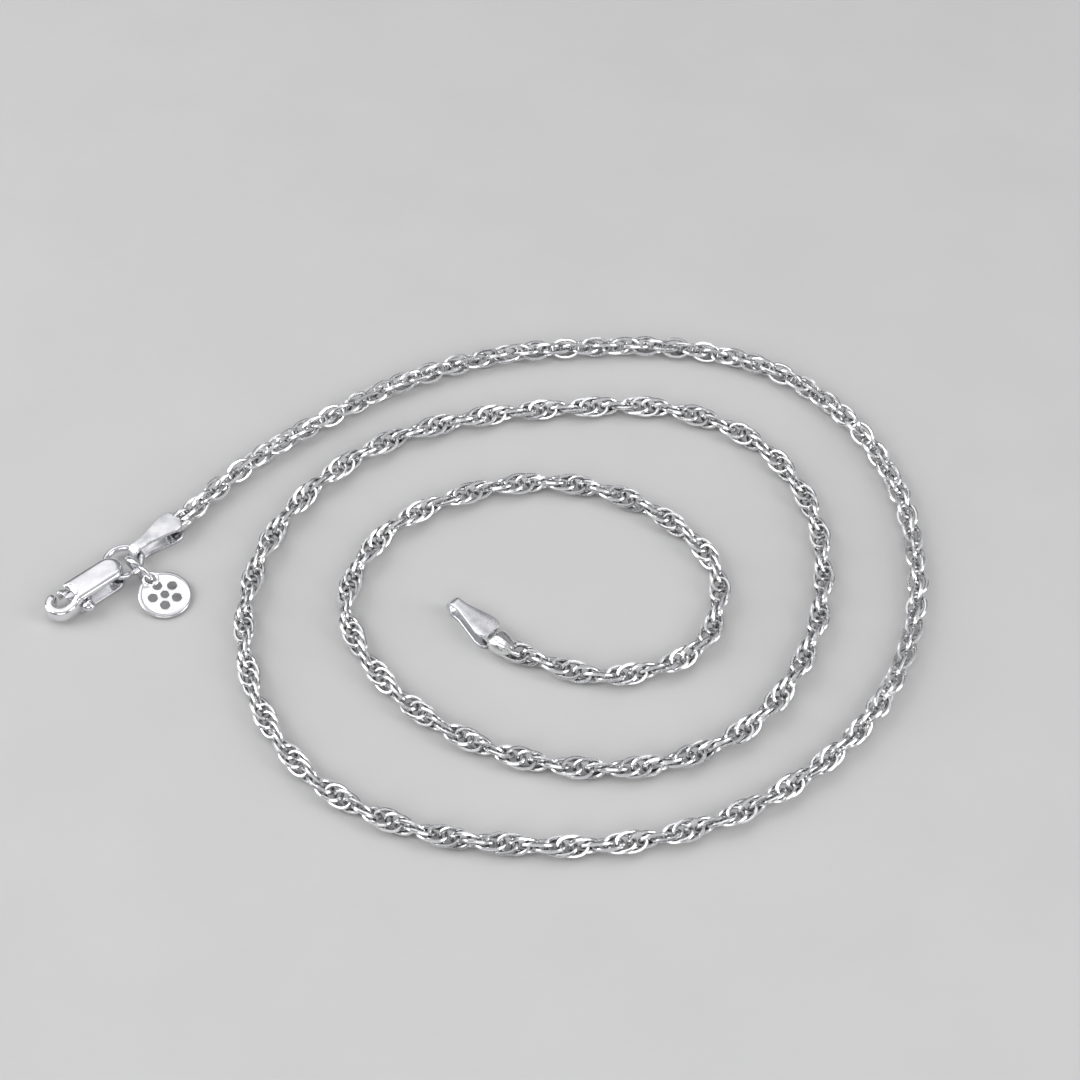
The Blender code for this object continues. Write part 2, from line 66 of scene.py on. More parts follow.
# Chain: superellipse links of round wire, each turned on from the last. The first part is twisted tighter.
CHAIN_SECTIONS = 44
LINK_PITCH = 1.05
LINK_HALF_LENGTH = 1.35
LINK_HALF_WIDTH = 0.9
LINK_SQUARENESS = 2.15
LINK_WIRE = 0.188
LINK_STEPS = 26
LINK_SIDES = 8
OPEN_TURN = 65
DENSE_TURN = 35
OPEN_UNTIL = 100
DENSE_FROM = 135
LINK_WOBBLE = 2.0
WOBBLE_FAST = 2.3
WOBBLE_SLOW = 0.71
CHAIN_LIFT = 0.05
BLEND_REACH = 2.6
CHAIN_PAST_A = 0.1
CHAIN_PAST_B = 0.45

# Solder in the tabs: (x along the tab from its wide end, width, height) of each station.
CAP_A_STATIONS = ((1.1, 1.4, 0.84), (0.5, 1.5, 0.9), (0.1, 1.6, 1.1), (-0.25, 1.5, 1.3), (-0.4, 1.2, 1.0))
CAP_B_STATIONS = (
    (1.1, 1.4, 0.84), (0.4, 1.5, 0.9), (-0.1, 1.8, 1.3), (-0.35, 2.15, 1.85), (-0.85, 2.3, 2.0),
    (-1.4, 2.2, 1.95), (-1.9, 1.9, 1.75), (-2.3, 1.5, 1.4), (-2.6, 0.9, 0.9),
)
# Where links are melted into the solder, measured past the start and past the end of the chain.
MELTED_A = (-0.5, -0.1)
MELTED_B = (0.25, 0.8)

# End tabs: a folded strip with a raised rim.
TAB_LENGTH = 5.9
TAB_SHEET = 0.35
TAB_HEIGHT = 2.0
TAB_FOLD_HALF_WIDTH = 0.55
TAB_WIDE_HALF_WIDTH = 1.25
TAB_END_HALF_WIDTH = 0.7
TAB_CORNER = 0.75
TAB_WIDE_UNTIL = 1.25
TAB_NARROW_FROM = 4.2
TAB_RIM = 0.17
TAB_RECESS = 0.05
TAB_A_ANGLE = 226
TAB_B_ANGLE = 135
RING_SEAT = 0.86
CAP_B_REACH = 2.3

# Jump ring, charm ring and charm.
RING_RADIUS = 1.82
RING_WIRE = 0.33
CHARM_RING_AIM = -40
CHARM_RING_RADIUS = 1.5
CHARM_RING_WIRE = 0.27
CHARM_RING_LEAN = -15
CHARM_RING_RISE = 0.74
CHARM_RING_BACK = -0.5
CHARM_RADIUS = 2.55
CHARM_AIM = -47.6
CHARM_DROP = 10.6
CHARM_PLATE = 0.26
CHARM_RIM = 0.2
EYE_REACH = 2.2
EYE_OUTER = 0.85
EYE_HOLE = 0.5
PIERCED_HOLES = 5
PIERCED_RADIUS = 0.46
PIERCED_CIRCLE = 1.2
PIERCED_MIDDLE = 0.4

# Clasp. Its own X runs from the tail to the nose, its Y towards the thumb nub.
CLASP_ANGLE = 222
CLASP_SEAT = 1.08
PLATE_LENGTH = 5.9
PLATE_HALF_WIDTH = 1.42
FRONT_CORNER = 0.4
FRONT_HOLLOW = 0.28
HOOK_CENTRE = Vector((7.0, 0, 1.15))
HOOK_RADIUS = 1.1
HOOK_WIDTH = 1.0
HOOK_HEIGHT = 1.36
HOOK_TIP_ANGLE = -95
PIVOT = Vector((4.2, -0.55, 0))
PIN_RADIUS = 0.28
LEVER_MIDDLE = 1.275
LEVER_DEPTH = 0.62
THUMB_NUB = Vector((5.1, 1.8, LEVER_MIDDLE))
SPRING_RADIUS = 0.48
SPRING_WIRE = 0.06
SPRING_TURNS = 2
SPRING_BASE = 0.57
SPRING_PITCH = 0.15

JOINTS = {joint["name"]: joint for joint in frame["joints"]}


def joint_at(name):
    return Vector(JOINTS[name]["pos_m"]) / MM


def heading(degrees):
    angle = math.radians(degrees)
    return Vector((math.cos(angle), math.sin(angle), 0))


def placed(origin, x_axis, z_axis):
    """A frame with its origin, X and Z as given."""
    x_axis = x_axis.normalized()
    z_axis = (z_axis - x_axis * x_axis.dot(z_axis)).normalized()
    rotation = Matrix((x_axis, z_axis.cross(x_axis), z_axis)).transposed()
    return Matrix.Translation(origin) @ rotation.to_4x4()


# Materials.


def add_node(tree, kind, **settings):
    node = tree.nodes.new(kind)
    for name, value in settings.items():
        if name in node.inputs:
            node.inputs[name].default_value = value
        else:
            setattr(node, name, value)
    return node


def new_material(name):
    material = bpy.data.materials.new(name)
    material.use_nodes = True
    tree = material.node_tree
    return material, tree, tree.nodes["Principled BSDF"]


def noise_in(tree, scale, detail=4.0, stretch=(1, 1, 1), turn=0.0):
    """Noise over the object's own metres, with scale in waves for each millimetre."""
    place = add_node(tree, "ShaderNodeTexCoord")
    mapping = add_node(tree, "ShaderNodeMapping")
    mapping.inputs["Scale"].default_value = stretch
    mapping.inputs["Rotation"].default_value = (0, 0, math.radians(turn))
    texture = add_node(tree, "ShaderNodeTexNoise", Scale=scale / MM, Detail=detail)
    tree.links.new(place.outputs["Object"], mapping.inputs["Vector"])
    tree.links.new(mapping.outputs["Vector"], texture.inputs["Vector"])
    return texture.outputs["Fac"]


def ramp_of(tree, value, stops):
    """Colours or greys by value. Stops are (position, colour)."""
    ramp = add_node(tree, "ShaderNodeValToRGB")
    elements = ramp.color_ramp.elements
    while len(elements) < len(stops):
        elements.new(0.5)
    for element, (position, colour) in zip(elements, stops):
        element.position = position
        element.color = (*colour, 1)
    tree.links.new(value, ramp.inputs["Fac"])
    return ramp.outputs["Color"]


def range_of(tree, value, low, high):
    mapped = add_node(tree, "ShaderNodeMapRange")
    mapped.inputs["From Min"].default_value = 0.3
    mapped.inputs["From Max"].default_value = 0.7
    mapped.inputs["To Min"].default_value = low
    mapped.inputs["To Max"].default_value = high
    tree.links.new(value, mapped.inputs["Value"])
    return mapped.outputs["Result"]


def bump_of(tree, value, height, normal=None):
    """Bump with its height in millimetres."""
    bump = add_node(tree, "ShaderNodeBump", Distance=height * MM)
    tree.links.new(value, bump.inputs["Height"])
    if normal:
        tree.links.new(normal, bump.inputs["Normal"])
    return bump.outputs["Normal"]


def silver(name, bright, dull, roughness, marks, mark_height, stretch=(1, 1, 1), turn=0.0, crevice_shade=0.5):
    """Polished silver: cloudy tone, fine handling marks, and painted shade that darkens the colour where the
    surface is shut in.
    """
    material, tree, shader = new_material(name)
    cloud = noise_in(tree, 0.55, 5)
    fine = noise_in(tree, marks, 3, stretch, turn)
    broad = noise_in(tree, marks / 6, 2)
    tone = ramp_of(tree, cloud, [(0.35, dull), (0.6, bright)])
    # Painted shade: ambient occlusion darkens the base colour in crevices and gaps between parts, standing in
    # for shade and dark reflections.
    shut_in = add_node(tree, "ShaderNodeAmbientOcclusion", Distance=0.9 * MM, samples=8)
    painted_crevice_shade = ramp_of(tree, shut_in.outputs["AO"], [(0.2, (crevice_shade,) * 3), (0.75, (1, 1, 1))])
    mixed = add_node(tree, "ShaderNodeMix", data_type="RGBA", blend_type="MULTIPLY")
    mixed.inputs["Factor"].default_value = 1
    tree.links.new(tone, mixed.inputs[6])
    tree.links.new(painted_crevice_shade, mixed.inputs[7])
    tree.links.new(mixed.outputs[2], shader.inputs["Base Color"])
    tree.links.new(range_of(tree, fine, *roughness), shader.inputs["Roughness"])
    waves = bump_of(tree, broad, mark_height * 2)
    tree.links.new(bump_of(tree, fine, mark_height, waves), shader.inputs["Normal"])
    shader.inputs["Metallic"].default_value = 1
    return material


def floor_material():
    material, tree, shader = new_material("pale_floor")
    tone = ramp_of(tree, noise_in(tree, 0.08, 6), [(0.3, (0.59, 0.59, 0.585)), (0.7, (0.61, 0.61, 0.605))])
    tree.links.new(tone, shader.inputs["Base Color"])
    tree.links.new(bump_of(tree, noise_in(tree, 1.5, 4), 0.01), shader.inputs["Normal"])
    shader.inputs["Roughness"].default_value = 0.75
    return material


# Mesh helpers.


class Shells:
    """Closed skins gathered for one piece, in millimetres."""

    def __init__(self):
        self.points = []
        self.faces = []

    def skin(self, rings, joined=False):
        """A skin over rings of points that all have the same number: capped, or joined end to end."""
        rings = np.asarray(rings, float)
        count, size = rings.shape[:2]
        start = len(self.points)
        self.points.extend(rings.reshape(-1, 3).tolist())
        for i in range(count if joined else count - 1):
            one, two = start + i * size, start + (i + 1) % count * size
            for k in range(size):
                j = (k + 1) % size
                self.faces.append((one + k, one + j, two + j, two + k))
        if not joined:
            self.faces.append(tuple(range(start + size - 1, start - 1, -1)))
            self.faces.append(tuple(range(start + (count - 1) * size, start + count * size)))
        return self

    def sweep(self, path, up, outlines, joined=False):
        """A skin along a path, with an outline for each path point: a list of (across, up) points."""
        path = np.asarray(path, float)
        if joined:
            forward = np.roll(path, -1, 0) - np.roll(path, 1, 0)
        else:
            forward = np.gradient(path, axis=0)
        forward /= np.linalg.norm(forward, axis=1)[:, None]
        side = np.cross(np.asarray(up, float), forward)
        side /= np.linalg.norm(side, axis=1)[:, None]
        rise = np.cross(forward, side)
        outlines = np.asarray(outlines, float)
        rings = path[:, None] + side[:, None] * outlines[..., :1] + rise[:, None] * outlines[..., 1:]
        return self.skin(rings, joined)

    def mesh(self, name):
        mesh = bpy.data.meshes.new(name)
        mesh.from_pydata(self.points, [], self.faces)
        facing = bmesh.new()
        facing.from_mesh(mesh)
        bmesh.ops.recalc_face_normals(facing, faces=facing.faces)
        facing.to_mesh(mesh)
        facing.free()
        return mesh


def round_outline(width, height, sides, squareness=2.0):
    """A superellipse as (across, up) points."""
    turns = 2 * math.pi * (np.arange(sides) + 0.5) / sides
    power = 2 / squareness
    across = np.sign(np.cos(turns)) * np.abs(np.cos(turns)) ** power * width / 2
    rise = np.sign(np.sin(turns)) * np.abs(np.sin(turns)) ** power * height / 2
    return np.stack([across, rise], 1)


def circle(centre, radius, steps, first=0.0, sweep=360.0):
    """Points round a level circle, closed when the sweep is a full turn."""
    closed = abs(sweep) == 360
    turns = np.radians(first + sweep * np.arange(steps) / (steps if closed else steps - 1))
    flat = np.stack([np.cos(turns), np.sin(turns), np.zeros(steps)], 1)
    return np.asarray(centre, float) + flat * radius


def smoothed(path, steps):
    """A Catmull-Rom curve through the path's points."""
    points = [Vector(point) for point in path]
    points = [points[0] * 2 - points[1], *points, points[-1] * 2 - points[-2]]
    curve = []
    for i in range(1, len(points) - 2):
        a, b, c, d = points[i - 1 : i + 3]
        for k in range(steps):
            t = k / steps
            curve.append((b * 2 + (c - a) * t + (a * 2 - b * 5 + c * 4 - d) * t**2
                          + (b * 3 - a - c * 3 + d) * t**3) / 2)
    return [*curve, points[-2]]


def fused(mesh, voxel, rounds, lumps=0.0):
    """Shells melted into one skin, smoothed, and dented a little if asked, as a casting or solder is."""
    helper = bpy.data.objects.new("fused", mesh)
    bpy.context.scene.collection.objects.link(helper)
    remesh = helper.modifiers.new("fuse", "REMESH")
    remesh.mode = "VOXEL"
    remesh.voxel_size = voxel
    smooth = helper.modifiers.new("smooth", "SMOOTH")
    smooth.iterations = rounds
    graph = bpy.context.evaluated_depsgraph_get()
    result = bpy.data.meshes.new_from_object(helper.evaluated_get(graph))
    bpy.data.objects.remove(helper)
    if lumps:
        moves = [vertex.normal * noise.noise(vertex.co * 1.7) * lumps for vertex in result.vertices]
        for vertex, move in zip(result.vertices, moves):
            vertex.co += move
    return result


def add_piece(name, mesh, material, place=Matrix.Identity(4), sharp=40):
    """Puts a mesh made in millimetres in the scene, in metres, with its vertices in the row frame."""
    mesh.name = name
    mesh.transform(Matrix.Scale(MM, 4) @ place)
    mesh.materials.clear()
    mesh.materials.append(material)
    mesh.shade_smooth()
    mesh.set_sharp_from_angle(angle=math.radians(sharp))
    obj = bpy.data.objects.new(name, mesh)
    bpy.context.scene.collection.objects.link(obj)
    return obj


# The chain.


class Strand:
    """The chain's middle line through its hinges, by distance from the first hinge."""

    def __init__(self):
        hinges = [joint_at(f"strand_bend_{k:02d}") + UP * CHAIN_LIFT for k in range(1, CHAIN_SECTIONS + 2)]
        curve = np.array(smoothed(hinges, 24))
        steps = np.linalg.norm(np.diff(curve, axis=0), axis=1)
        self.curve = curve
        self.distance = np.concatenate([[0], np.cumsum(steps)])
        self.length = self.distance[-1]
        self.section = self.length / CHAIN_SECTIONS
        self.first = -heading(TAB_A_ANGLE)
        self.last = heading(TAB_B_ANGLE)

    def point(self, distance):
        if distance < 0:
            return Vector(self.curve[0]) + self.first * distance
        if distance > self.length:
            return Vector(self.curve[-1]) + self.last * (distance - self.length)
        return Vector([np.interp(distance, self.distance, self.curve[:, k]) for k in range(3)])

    def direction(self, distance, reach=0.8):
        return (self.point(distance + reach) - self.point(distance - reach)).normalized()


def link_turns(places):
    """How far each link is turned about the chain, in radians: fast at first, then slower."""
    share = np.clip((places - OPEN_UNTIL) / (DENSE_FROM - OPEN_UNTIL), 0, 1)
    share = share * share * (3 - 2 * share)
    steps = OPEN_TURN + (DENSE_TURN - OPEN_TURN) * share
    turned = np.cumsum(steps) + LINK_WOBBLE * np.sin(places * WOBBLE_FAST)
    return np.radians(turned + LINK_WOBBLE * np.sin(places * WOBBLE_SLOW))


def add_link(shells, strand, distance, turn, wire=LINK_WIRE):
    """One link: a flat loop of wire, standing on the chain's line and turned about it."""
    forward = strand.direction(distance)
    side = UP.cross(forward).normalized()
    across = side * math.cos(turn) + forward.cross(side) * math.sin(turn)
    normal = forward.cross(across)
    loop = round_outline(2 * LINK_HALF_LENGTH, 2 * LINK_HALF_WIDTH, LINK_STEPS, LINK_SQUARENESS)
    centre = np.array(strand.point(distance))
    path = centre + loop[:, :1] * np.array(forward) + loop[:, 1:] * np.array(across)
    outline = round_outline(2 * wire, 2 * wire, LINK_SIDES)
    shells.sweep(path, normal, [outline] * LINK_STEPS, joined=True)


def add_chain(strand, material):
    """The links in one piece for each hinge, from the middle of one section to the middle of the next."""
    places = np.arange(-CHAIN_PAST_A, strand.length + CHAIN_PAST_B, LINK_PITCH)
    turns = link_turns(places)
    groups = np.clip(np.floor(places / strand.section + 0.5).astype(int), 0, CHAIN_SECTIONS)
    for group in range(CHAIN_SECTIONS + 1):
        shells = Shells()
        for place, turn in zip(places[groups == group], turns[groups == group]):
            add_link(shells, strand, place, turn)
        number = group + 1
        links = add_piece(f"chain_links_{number:02d}", shells.mesh("links"), material)
        reach = strand.direction(group * strand.section) * BLEND_REACH
        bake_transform(links)
        if group < CHAIN_SECTIONS:
            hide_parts(f"chain_section_{number:02d}")


# End tabs and soldered ends.


def tab_half_width(place):
    """Half the strip's width at a distance from its wide end: a rounded end, a wide part, and a taper."""
    if place < TAB_CORNER:
        left = 1 - place / TAB_CORNER
        return TAB_END_HALF_WIDTH + (TAB_WIDE_HALF_WIDTH - TAB_END_HALF_WIDTH) * math.sqrt(1 - left**2)
    share = (place - TAB_WIDE_UNTIL) / (TAB_NARROW_FROM - TAB_WIDE_UNTIL)
    share = min(max(share, 0), 1)
    return TAB_WIDE_HALF_WIDTH + (TAB_FOLD_HALF_WIDTH - TAB_WIDE_HALF_WIDTH) * share


def tab_outline(half_width, recess):
    """The strip's cross-section: rounded edges, and an outer face that is a little hollow inside its rim."""
    edge = 0.09
    half = TAB_SHEET / 2
    corner = [(edge * math.sin(t), edge * (1 - math.cos(t))) for t in np.radians([0, 30, 60, 90])]
    outer = [(half_width - edge + x, half - z) for x, z in corner]
    inner = [(half_width - edge + x, -half + z) for x, z in reversed(corner)]
    rim = half_width - TAB_RIM
    right = [(rim - 0.12, half - recess), (rim, half - recess * 0.3), *outer, *inner, (rim * 0.5, -half)]
    left = [(-x, z) for x, z in reversed(right)]
    return [(rim * 0.3, half - recess), *right, *left, (-rim * 0.3, half - recess)]


def tab_mesh():
    """A strip folded double, with its own X from the wide end to the fold and the lower leaf at z = 0."""
    bend = (TAB_HEIGHT - TAB_SHEET) / 2
    fold_at = TAB_LENGTH - bend - TAB_SHEET / 2
    corner_places = np.linspace(0, 1, 9) ** 2 * TAB_CORNER
    leaf_places = np.linspace(TAB_CORNER, fold_at, 22)[1:]
    places = np.concatenate([corner_places, leaf_places])
    path, outlines = [], []
    for place in places:
        recess = TAB_RECESS * min(1, max(0, place - 0.15) / 0.3) * min(1, max(0, fold_at - 0.5 - place) / 0.4)
        path.append((place, 0, TAB_SHEET / 2))
        outlines.append(tab_outline(tab_half_width(place), recess))
    turns = np.radians(np.linspace(-90, 90, 19)[1:-1])
    curl = [(fold_at + bend * math.cos(t), 0, TAB_HEIGHT / 2 + bend * math.sin(t)) for t in turns]
    upper = [(x, 0, TAB_HEIGHT - TAB_SHEET / 2) for x, _, _ in reversed(path)]
    outlines = [*outlines, *[tab_outline(TAB_FOLD_HALF_WIDTH, 0)] * len(curl), *reversed(outlines)]
    path = [*path, *curl, *upper]
    shells = Shells()
    rings = []
    for i, (point, outline) in enumerate(zip(path, outlines)):
        ahead = Vector(path[min(i + 1, len(path) - 1)]) - Vector(path[max(i - 1, 0)])
        outward = ahead.normalized().cross(Vector((0, 1, 0))) * -1
        rings.append([Vector(point) + Vector((0, x, 0)) - outward * z for x, z in outline])
    return shells.skin(rings).mesh("tab")


def melted_links(shells, strand, places, turns, place, wire):
    """Links drowned in solder, in the tab's own frame."""
    local = Shells()
    for distance, turn in zip(places, turns):
        add_link(local, strand, distance, turn, wire)
    back = place.inverted()
    start = len(shells.points)
    shells.points.extend([tuple(back @ Vector(point)) for point in local.points])
    shells.faces.extend([tuple(start + i for i in face) for face in local.faces])


def cap_mesh(stations, strand, places, turns, place):
    """Solder between the leaves and round the chain's last links. Stations are (x, width, height)."""
    path = smoothed([(x, 0, TAB_HEIGHT / 2) for x, _, _ in stations], 3)
    sizes = smoothed([(width, height, 0) for _, width, height in stations], 3)
    shells = Shells()
    shells.sweep(path, UP, [round_outline(size.x, size.y, 24, 2.3) for size in sizes])
    melted_links(shells, strand, places, turns, place, LINK_WIRE + 0.05)
    return fused(shells.mesh("cap"), 0.07, 6, lumps=0.03)


def add_tabs(strand, sheet, solder):
    """Both tabs with their soldered ends."""
    fold_a = joint_at("jump_ring_swing") + heading(TAB_A_ANGLE) * RING_SEAT
    wide_a = Vector((fold_a.x, fold_a.y, 0)) - heading(TAB_A_ANGLE) * TAB_LENGTH
    end = strand.point(strand.length)
    wide_b = Vector((end.x, end.y, 0)) + heading(TAB_B_ANGLE) * CAP_B_REACH
    places_a = np.array(MELTED_A)
    places_b = strand.length + np.array(MELTED_B)
    for letter, wide, angle, stations, places in (
        ("a", wide_a, TAB_A_ANGLE, CAP_A_STATIONS, places_a),
        ("b", wide_b, TAB_B_ANGLE, CAP_B_STATIONS, places_b),
    ):
        place = placed(wide, heading(angle), UP)
        tab = add_piece(f"tab_{letter}", tab_mesh(), sheet, place)
        filled = cap_mesh(stations, strand, places, places * 0.9, place)
        cap = add_piece(f"solder_{letter}", filled, solder, place)
        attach(tab, f"end_tab_{letter}")
        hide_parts(f"end_tab_{letter}")
        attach(cap, f"end_tab_{letter}")
        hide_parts(f"end_cap_{letter}")


# Rings and charm.


def ring_mesh(radius, wire, steps, sides, seam_at):
    """A wire ring with the slight swelling of its soldered seam."""
    path = circle((0, 0, 0), radius, steps)
    outlines = []
    for i in range(steps):
        apart = (360 * i / steps - seam_at + 180) % 360 - 180
        swell = 1 + 0.07 * math.exp(-((apart / 7) ** 2)) - 0.04 * math.exp(-((apart / 2.5) ** 2))
        outlines.append(round_outline(2 * wire * swell, 2 * wire * swell, sides))
    return Shells().sweep(path, UP, outlines, joined=True).mesh("ring")


def add_jump_ring(material):
    towards_ring = heading(TAB_A_ANGLE)
    centre = joint_at("jump_ring_swing") + towards_ring * RING_RADIUS
    mesh = ring_mesh(RING_RADIUS, RING_WIRE, 72, 16, seam_at=80)
    ring = add_piece("jump_ring_wire", mesh, material, placed(centre, -towards_ring, UP))
    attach(ring, "jump_ring")
    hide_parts("jump_ring")


def charm_outline(steps=96):
    """The disc and its eye as one rounded outline, in polar form round the disc's middle."""
    points = []
    for i in range(steps):
        turn = 2 * math.pi * i / steps
        towards_eye = -math.cos(turn)
        reach = CHARM_RADIUS
        sine = EYE_REACH * math.sin(turn)
        if towards_eye > 0 and abs(sine) < EYE_OUTER:
            eye = EYE_REACH * towards_eye + math.sqrt(EYE_OUTER**2 - sine**2)
            reach = (CHARM_RADIUS**30 + eye**30) ** (1 / 30)
        points.append((EYE_REACH + reach * math.cos(turn), reach * math.sin(turn)))
    return points


def plate_with_holes(outline, holes, thick, edge):
    """A flat plate with round holes and rounded edges, from a filled curve."""
    curve = bpy.data.curves.new("plate", "CURVE")
    curve.dimensions = "2D"
    curve.fill_mode = "BOTH"
    curve.extrude = thick / 2 - edge
    curve.bevel_depth = edge
    curve.bevel_resolution = 3
    curve.offset = -edge
    rims = [outline]
    for centre, radius in holes:
        rims.append([(x, y) for x, y, _ in circle((*centre, 0), radius, 32)])
    for rim in rims:
        spline = curve.splines.new("POLY")
        spline.points.add(len(rim) - 1)
        for point, (x, y) in zip(spline.points, rim):
            point.co = (x, y, 0, 1)
        spline.use_cyclic_u = True
    helper = bpy.data.objects.new("plate", curve)
    bpy.context.scene.collection.objects.link(helper)
    graph = bpy.context.evaluated_depsgraph_get()
    mesh = bpy.data.meshes.new_from_object(helper.evaluated_get(graph))
    bpy.data.objects.remove(helper)
    return mesh


def charm_mesh():
    """A plate with a plain ring of round holes, a raised rim and a rounded eye. Its own origin is the eye."""
    middle = (EYE_REACH, 0)
    holes = [((0, 0), EYE_HOLE), (middle, PIERCED_MIDDLE)]
    for i in range(PIERCED_HOLES):
        turn = math.pi * (2 * i + 1) / PIERCED_HOLES
        across = middle[0] + PIERCED_CIRCLE * math.cos(turn)
        holes.append(((across, PIERCED_CIRCLE * math.sin(turn)), PIERCED_RADIUS))
    plate = plate_with_holes(charm_outline(), holes, CHARM_PLATE, 0.07)
    shells = Shells()
    rim_path = circle((*middle, 0), CHARM_RADIUS - CHARM_RIM, 72, first=-158, sweep=316)
    shells.sweep(rim_path, UP, [round_outline(2 * CHARM_RIM, 0.35, 12, 2.3)] * len(rim_path))
    eye_wire = (EYE_OUTER - EYE_HOLE) / 2
    eye_path = circle((0, 0, 0), EYE_HOLE + eye_wire, 36)
    shells.sweep(eye_path, UP, [round_outline(2 * eye_wire, 0.35, 12)] * 36, joined=True)
    for centre, radius in holes[1:]:
        lip = circle((*centre, 0), radius + 0.07, 28)
        shells.sweep(lip, UP, [round_outline(0.14, 0.31, 8)] * 28, joined=True)
    joined = bmesh.new()
    joined.from_mesh(plate)
    joined.from_mesh(shells.mesh("charm"))
    joined.to_mesh(plate)
    joined.free()
    return plate


def add_charm(material):
    """The charm ring, leaning over, and the charm that hangs from it."""
    seat = joint_at("charm_ring_swing")
    outward = heading(CHARM_RING_AIM)
    lean = math.radians(CHARM_RING_LEAN)
    rise = UP * math.cos(lean) + UP.cross(outward) * math.sin(lean)
    centre = seat + rise * CHARM_RING_RISE - outward * CHARM_RING_BACK
    mesh = ring_mesh(CHARM_RING_RADIUS, CHARM_RING_WIRE, 64, 14, seam_at=140)
    place = placed(centre, outward, outward.cross(rise))
    ring = add_piece("charm_ring_wire", mesh, material, place)
    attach(ring, "charm_ring")
    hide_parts("charm_ring")
    drop = math.radians(CHARM_DROP)
    towards_middle = heading(CHARM_AIM) * math.cos(drop) - UP * math.sin(drop)
    place = placed(joint_at("charm_swing"), towards_middle, UP)
    charm = add_piece("charm_disc", charm_mesh(), material, place, sharp=30)
    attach(charm, "charm")
    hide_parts("charm")


# The clasp.


def plate_outline(inset):
    """The clasp's plates: round at the tail, with a hollow front edge between rounded corners."""
    half = PLATE_HALF_WIDTH - inset
    corner = max(FRONT_CORNER - inset / 2, 0.05)
    front = PLATE_LENGTH - inset
    points = []
    for y_sign, first in ((-1, -90), (1, 0)):
        centre = (front - corner, y_sign * (half - corner), 0)
        points.append(circle(centre, corner, 7, first, 90))
    rows = np.linspace(-1, 1, 13)[1:-1]
    hollow = [(front - FRONT_HOLLOW * (1 - row**2), row * (half - corner), 0) for row in rows]
    tail = circle((PLATE_HALF_WIDTH, 0, 0), half, 29, 90, 180)
    return np.concatenate([points[0], hollow, points[1], tail])


def clasp_body_mesh():
    """Domed upper plate, lower plate, the fold between them at the tail, and the hook, cast as one."""
    shells = Shells()
    high = [(1.8, 0.06), (1.86, 0.0)]
    high += [(1.95 + 0.45 * t * (2 - t), 0.85 * t * t) for t in np.linspace(0, 1, 14)]
    low = [(0.0, 0.22), (0.05, 0.1), (0.14, 0.02), (0.25, 0), (0.4, 0), (0.45, 0.05)]
    for levels in (high, low):
        shells.skin([plate_outline(inset) + np.array((0, 0, z)) for z, inset in levels])
    wall = [(0.24, 0, 0.15), (0.21, 0, 0.5), (0.2, 0, 1.1), (0.22, 0, 1.7), (0.3, 0, 2.1)]
    shells.sweep(smoothed(wall, 3), (1, 0, 0), [round_outline(0.95, 0.34, 16, 3)] * 13)
    root = [(5.45, 0.9, 1.25), (5.8, 0.97, 1.22), (6.4, 1.07, 1.17)]
    curl = circle(HOOK_CENTRE, HOOK_RADIUS, 25, 90, HOOK_TIP_ANGLE - 90)
    path = [*smoothed(root, 5)[:-1], *curl]
    grown = len(path) - len(curl)
    widths = [*np.linspace(0.9, HOOK_WIDTH, grown), *[HOOK_WIDTH] * (len(curl) - 3), 0.9, 0.8, 0.55]
    heights = [*np.linspace(2.25, HOOK_HEIGHT, grown), *[HOOK_HEIGHT] * (len(curl) - 3), 1.24, 1.12, 0.8]
    shells.sweep(path, UP, [round_outline(w, h, 24, 3.4) for w, h in zip(widths, heights)])
    return fused(shells.mesh("clasp"), 0.075, 4)


def lever_mesh():
    """Hub, gate, arm and thumb nub, in the clasp's frame."""
    shells = Shells()
    hub = circle((PIVOT.x, PIVOT.y, LEVER_MIDDLE), 0.475, 36)
    shells.sweep(hub, UP, [round_outline(0.29, LEVER_DEPTH + 0.02, 12, 4)] * 36, joined=True)
    gate = smoothed([(4.62, -0.78, LEVER_MIDDLE), (5.15, -1.03, LEVER_MIDDLE),
                     (5.8, -HOOK_RADIUS, LEVER_MIDDLE),
                     (6.62, -HOOK_RADIUS, LEVER_MIDDLE)], 5)
    tip = [(0.52, 0.66), (0.58, 0.8), (0.64, 1.0), (0.66, 1.06), (0.62, 1.0)]
    sizes = [(0.5, LEVER_DEPTH)] * (len(gate) - len(tip)) + tip
    shells.sweep(gate, UP, [round_outline(width, height, 16, 3) for width, height in sizes])
    arm = smoothed([(4.33, -0.08, LEVER_MIDDLE), (4.7, 0.7, LEVER_MIDDLE), (4.98, 1.5, LEVER_MIDDLE)], 5)
    shells.sweep(arm, UP, [round_outline(0.48, LEVER_DEPTH - 0.06, 16, 3)] * len(arm))
    turns = np.radians(np.linspace(-88, 88, 13))
    shells.skin([circle(THUMB_NUB + UP * 0.5 * math.sin(t), 0.64 * math.cos(t), 20) for t in turns])
    return fused(shells.mesh("lever"), 0.055, 3)


def pin_mesh():
    levels = [(0.06, 0.2), (0.09, 0.26), (0.14, PIN_RADIUS), (1.68, PIN_RADIUS), (1.73, 0.26), (1.75, 0.2)]
    return Shells().skin([circle((PIVOT.x, PIVOT.y, z), radius, 28) for z, radius in levels]).mesh("pin")


def spring_mesh():
    """Two close turns of fine wire round the pin."""
    steps = 28 * SPRING_TURNS
    path = []
    for i in range(steps + 1):
        turn = 2 * math.pi * SPRING_TURNS * i / steps
        height = SPRING_BASE + SPRING_PITCH * SPRING_TURNS * i / steps
        x = PIVOT.x + SPRING_RADIUS * math.cos(turn)
        y = PIVOT.y + SPRING_RADIUS * math.sin(turn)
        path.append((x, y, height))
    outline = round_outline(2 * SPRING_WIRE, 2 * SPRING_WIRE, 8)
    return Shells().sweep(path, UP, [outline] * len(path)).mesh("spring")


